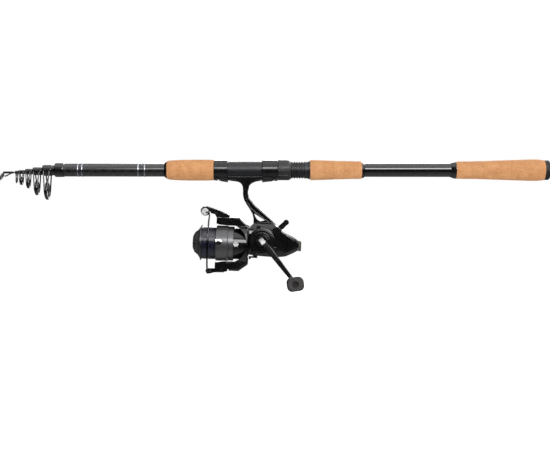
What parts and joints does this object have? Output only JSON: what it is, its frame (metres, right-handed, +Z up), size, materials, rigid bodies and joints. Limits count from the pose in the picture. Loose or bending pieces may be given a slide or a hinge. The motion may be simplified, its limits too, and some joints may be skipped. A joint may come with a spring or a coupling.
{
  "type": "telescopic fishing rod with spinning reel",
  "caption": "Collapsed telescopic fishing rod with cork grips and a screw reel seat that holds a front-drag spinning reel with a folding crank, a bail and a free-spool lever.",
  "frame": {"origin": "on the rod's axis, at the middle of the reel seat, above the reel foot's middle", "axes": "+X along the rod toward the butt cap, -X toward the tip; +Z up, the reel hangs below; the crank is on the -Y side"},
  "size_m": [0.6892, 0.1098, 0.1604],
  "materials": {
    "blank": "lacquered carbon tube with a faint woven wrap",
    "collar": "gloss black thread binding under lacquer",
    "trim": "satin metallic trim",
    "cork": "sanded natural cork with dark pits",
    "check": "gloss black",
    "hood": "gloss black moulding",
    "seat": "satin dark grey moulding",
    "butt_rubber": "matte black rubber",
    "inner_blank": "satin black carbon tube",
    "guide_frame": "black coated stainless wire",
    "guide_ring": "polished dark grey ceramic",
    "reel_body": "gloss black graphite moulding",
    "reel_cover": "gloss black moulding",
    "screw": "plain steel",
    "rotor": "gloss black graphite moulding",
    "bright_screw": "bright plated steel",
    "bail_lever": "gloss black",
    "bail_wire": "black plated wire",
    "roller": "hard plated line roller",
    "spool_metal": "gunmetal anodised aluminium",
    "line": "dark navy monofilament",
    "clip": "bright plated",
    "knob_plastic": "dark grey moulding",
    "felt": "greased felt",
    "steel": "ground steel",
    "bronze": "machined brass",
    "zinc": "die cast zinc alloy",
    "handle_metal": "gloss black coated die casting",
    "handle_grip": "dark soft-touch rubber",
    "tension": "gloss black with an olive gold tint"
  },
  "bodies": {
    "rod_and_reel_body": {"butt_blank": "blank", "blank_end_collar": "collar", "trim_rings": "trim", "front_winding_check": "check", "fore_grip": "cork", "fixed_hood": "hood", "reel_seat_barrel": "seat", "middle_grip": "cork", "grip_checks": "check", "rear_grip": "cork", "butt_cap": "butt_rubber", "reel_housing": "reel_body", "side_cover": "reel_cover", "side_cover_screws": "screw", "rear_cap": "reel_body", "drive_dust_cap": "reel_cover", "ball_bearings": "steel", "one_way_clutch": "steel"},
    "seat_hood": {"moving_hood": "hood"},
    "seat_nut": {"lock_nut": "hood"},
    "rod_section_1": {"section_1": "inner_blank", "guide_frame_1": "guide_frame", "guide_ring_1": "guide_ring"},
    "rod_section_2": {"section_2": "inner_blank", "guide_frame_2": "guide_frame", "guide_ring_2": "guide_ring"},
    "rod_section_3": {"section_3": "inner_blank", "guide_frame_3": "guide_frame", "guide_ring_3": "guide_ring"},
    "rod_section_4": {"section_4": "inner_blank", "guide_frame_4": "guide_frame", "guide_ring_4": "guide_ring"},
    "rod_tip": {"tip_section": "inner_blank", "tip_guide_frame": "guide_frame", "tip_guide_ring": "guide_ring"},
    "float_guide": {"floating_guide": "guide_frame"},
    "crank": {"drive_gear": "zinc", "handle_hub": "handle_metal", "handle_fold_pin": "steel"},
    "crank_arm": {"handle_arm": "handle_metal"},
    "crank_knob": {"handle_knob": "handle_grip"},
    "rotor_body": {"rotor": "rotor", "rotor_nut": "bronze", "balance_screw": "bright_screw", "bail_screws": "screw", "pinion_gear": "bronze"},
    "bail": {"bail_arm": "bail_lever", "bail_far_arm": "bail_lever", "bail_wire": "bail_wire"},
    "roller": {"line_roller": "roller"},
    "spool_shaft": {"main_shaft": "steel", "oscillation_slider": "zinc"},
    "spool_body": {"spool": "spool_metal", "wound_line": "line", "line_clip": "clip", "drag_washers": "felt"},
    "front_drag": {"drag_knob": "knob_plastic"},
    "free_lever": {"free_spool_lever": "reel_cover"},
    "rear_tension": {"tension_knob": "tension"},
    "reverse_lever": {"anti_reverse_lever": "reel_cover"}
  },
  "joints": [
    {"name": "section_1_slide", "type": "slide", "parent": "rod_and_reel_body", "child": "rod_section_1", "axis": [-1, 0, 0.0009], "range_m": [0, 0.523]},
    {"name": "section_2_slide", "type": "slide", "parent": "rod_section_1", "child": "rod_section_2", "axis": [-1, 0, 0.0019], "range_m": [0, 0.523]},
    {"name": "section_3_slide", "type": "slide", "parent": "rod_section_2", "child": "rod_section_3", "axis": [-1, 0, 0.0011], "range_m": [0, 0.523]},
    {"name": "section_4_slide", "type": "slide", "parent": "rod_section_3", "child": "rod_section_4", "axis": [-1, 0, 0.0008], "range_m": [0, 0.523]},
    {"name": "tip_slide", "type": "slide", "parent": "rod_section_4", "child": "rod_tip", "axis": [-1, 0, 0.001], "range_m": [0, 0.523]},
    {"name": "float_guide_slide", "type": "slide", "parent": "rod_tip", "child": "float_guide", "axis": [1, 0, 0], "range_m": [0, 0.2615]},
    {"name": "hood_slide", "type": "slide", "parent": "rod_and_reel_body", "child": "seat_hood", "axis": [1, 0, 0], "range_m": [0, 0.0195]},
    {"name": "nut_turn", "type": "hinge", "parent": "seat_hood", "child": "seat_nut", "pos_m": [0.0468, 0, 0], "axis": [1, 0, 0], "range_deg": [0, 2193.75]},
    {"name": "crank_turn", "type": "hinge", "parent": "rod_and_reel_body", "child": "crank", "pos_m": [0.01949, -0.016, -0.088], "axis": [0, -1, 0], "continuous": true},
    {"name": "handle_fold", "type": "hinge", "parent": "crank", "child": "crank_arm", "pos_m": [0.01949, -0.033, -0.088], "axis": [-0.7848, 0, -0.6198], "range_deg": [-30, 0]},
    {"name": "knob_spin", "type": "hinge", "parent": "crank_arm", "child": "crank_knob", "pos_m": [0.05878, -0.068, -0.13776], "axis": [0, -1, 0], "continuous": true},
    {"name": "rotor_turn", "type": "hinge", "parent": "rod_and_reel_body", "child": "rotor_body", "pos_m": [-0.01072, 0, -0.09219], "axis": [0.999, 0, -0.0436], "continuous": true},
    {"name": "bail_open", "type": "hinge", "parent": "rotor_body", "child": "bail", "pos_m": [-0.0309, 0, -0.09131], "axis": [-0.0436, 0, -0.999], "range_deg": [0, 105]},
    {"name": "roller_spin", "type": "hinge", "parent": "bail", "child": "roller", "pos_m": [-0.05201, -0.002, -0.05215], "axis": [0, 1, 0], "continuous": true},
    {"name": "spool_stroke", "type": "slide", "parent": "rod_and_reel_body", "child": "spool_shaft", "axis": [0.999, 0, -0.0436], "range_m": [-0.008, 0.008]},
    {"name": "spool_turn", "type": "hinge", "parent": "spool_shaft", "child": "spool_body", "pos_m": [-0.04069, 0, -0.09088], "axis": [0.999, 0, -0.0436], "continuous": true},
    {"name": "drag_turn", "type": "hinge", "parent": "spool_shaft", "child": "front_drag", "pos_m": [-0.06067, 0, -0.09001], "axis": [0.999, 0, -0.0436], "range_deg": [-540, 540]},
    {"name": "free_spool_flip", "type": "hinge", "parent": "rod_and_reel_body", "child": "free_lever", "pos_m": [0.03742, -0.014, -0.07628], "axis": [0, -1, 0], "range_deg": [0, 55]},
    {"name": "tension_turn", "type": "hinge", "parent": "rod_and_reel_body", "child": "rear_tension", "pos_m": [0.06524, 0, -0.09471], "axis": [0.999, 0, -0.0436], "range_deg": [-270, 270]},
    {"name": "reverse_flip", "type": "hinge", "parent": "rod_and_reel_body", "child": "reverse_lever", "pos_m": [0.0101, 0, -0.10812], "axis": [0.0436, 0, 0.999], "range_deg": [0, 25]}
  ],
  "couplings": [
    {"joint": "rotor_turn", "follows": "crank_turn", "ratio": 5.2},
    {"joint": "nut_turn", "follows": "hood_slide", "rad_per_m": 1963.5},
    {"joint": "float_guide_slide", "follows": "tip_slide", "ratio": 0.5}
  ]
}
